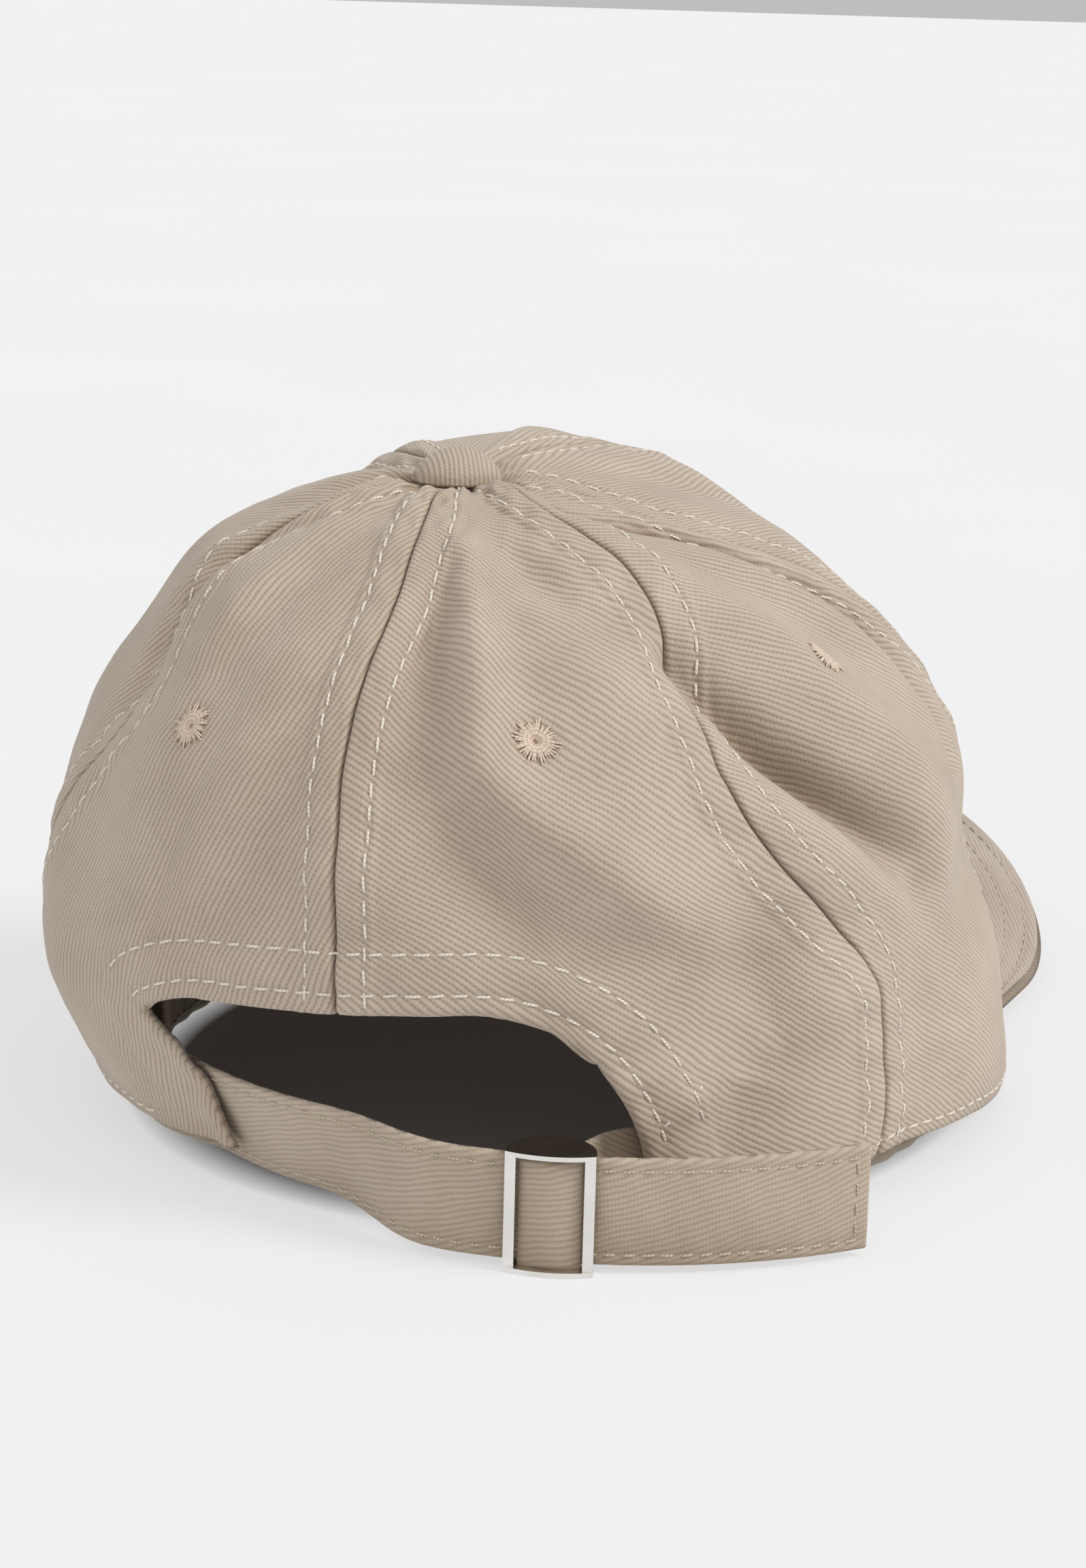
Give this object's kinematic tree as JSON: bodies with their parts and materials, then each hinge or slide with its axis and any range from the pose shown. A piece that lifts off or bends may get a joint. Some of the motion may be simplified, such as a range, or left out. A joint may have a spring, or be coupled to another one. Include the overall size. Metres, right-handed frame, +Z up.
{
  "type": "baseball cap",
  "caption": "Soft panelled cotton cap with a curved visor, covered top button, arched back opening and a fabric strap with a metal slide buckle.",
  "frame": {"origin": "centre of the head opening's rim, on the plane the cap rests on", "axes": "+Z up out of the crown, -Y forwards through the visor, -X towards the wearer's right"},
  "size_m": [0.1798, 0.2551, 0.1244],
  "materials": {
    "twill": "coarse cotton twill, matt",
    "visor_twill": "cotton twill stretched over a board, matt",
    "strap_twill": "folded cotton twill, matt",
    "thread": "embroidery thread, slight sheen",
    "tape": "plain cotton tape",
    "sweatband_cotton": "brushed cotton",
    "board": "polyethylene visor board",
    "nickel": "polished nickel plate",
    "button_metal": "pressed steel"
  },
  "bodies": {
    "crown": {"anchor_tab": "strap_twill", "arch_facing": "tape", "back_panel_left": "twill", "back_panel_right": "twill", "buckle_centre_bar": "nickel", "buckle_frame": "nickel", "button_cover": "twill", "button_post": "button_metal", "button_shell": "button_metal", "button_washer": "button_metal", "eyelet_back_left": "thread", "eyelet_back_right": "thread", "eyelet_front_left": "thread", "eyelet_front_right": "thread", "eyelet_side_left": "thread", "eyelet_side_right": "thread", "front_panel_left": "twill", "front_panel_right": "twill", "seam_tape_back": "tape", "seam_tape_back_left": "tape", "seam_tape_back_right": "tape", "seam_tape_front": "tape", "seam_tape_front_left": "tape", "seam_tape_front_right": "tape", "side_panel_left": "twill", "side_panel_right": "twill", "sweatband": "sweatband_cotton"},
    "visor": {"visor_top_cover": "visor_twill", "visor_board": "board", "visor_under_cover": "visor_twill"},
    "strap": {"strap": "strap_twill"}
  },
  "joints": [
    {"name": "strap_adjust", "type": "hinge", "parent": "crown", "child": "strap", "pos_m": [-0.0145, 0.0042, 0], "axis": [0, 0, 1], "range_deg": [-26, 13.5]},
    {"name": "visor_tilt", "type": "hinge", "parent": "crown", "child": "visor", "pos_m": [0, -0.046, 0.03], "axis": [-1, 0, 0], "range_deg": [0, 10], "stiffness_Nm_per_rad": 0.2}
  ]
}
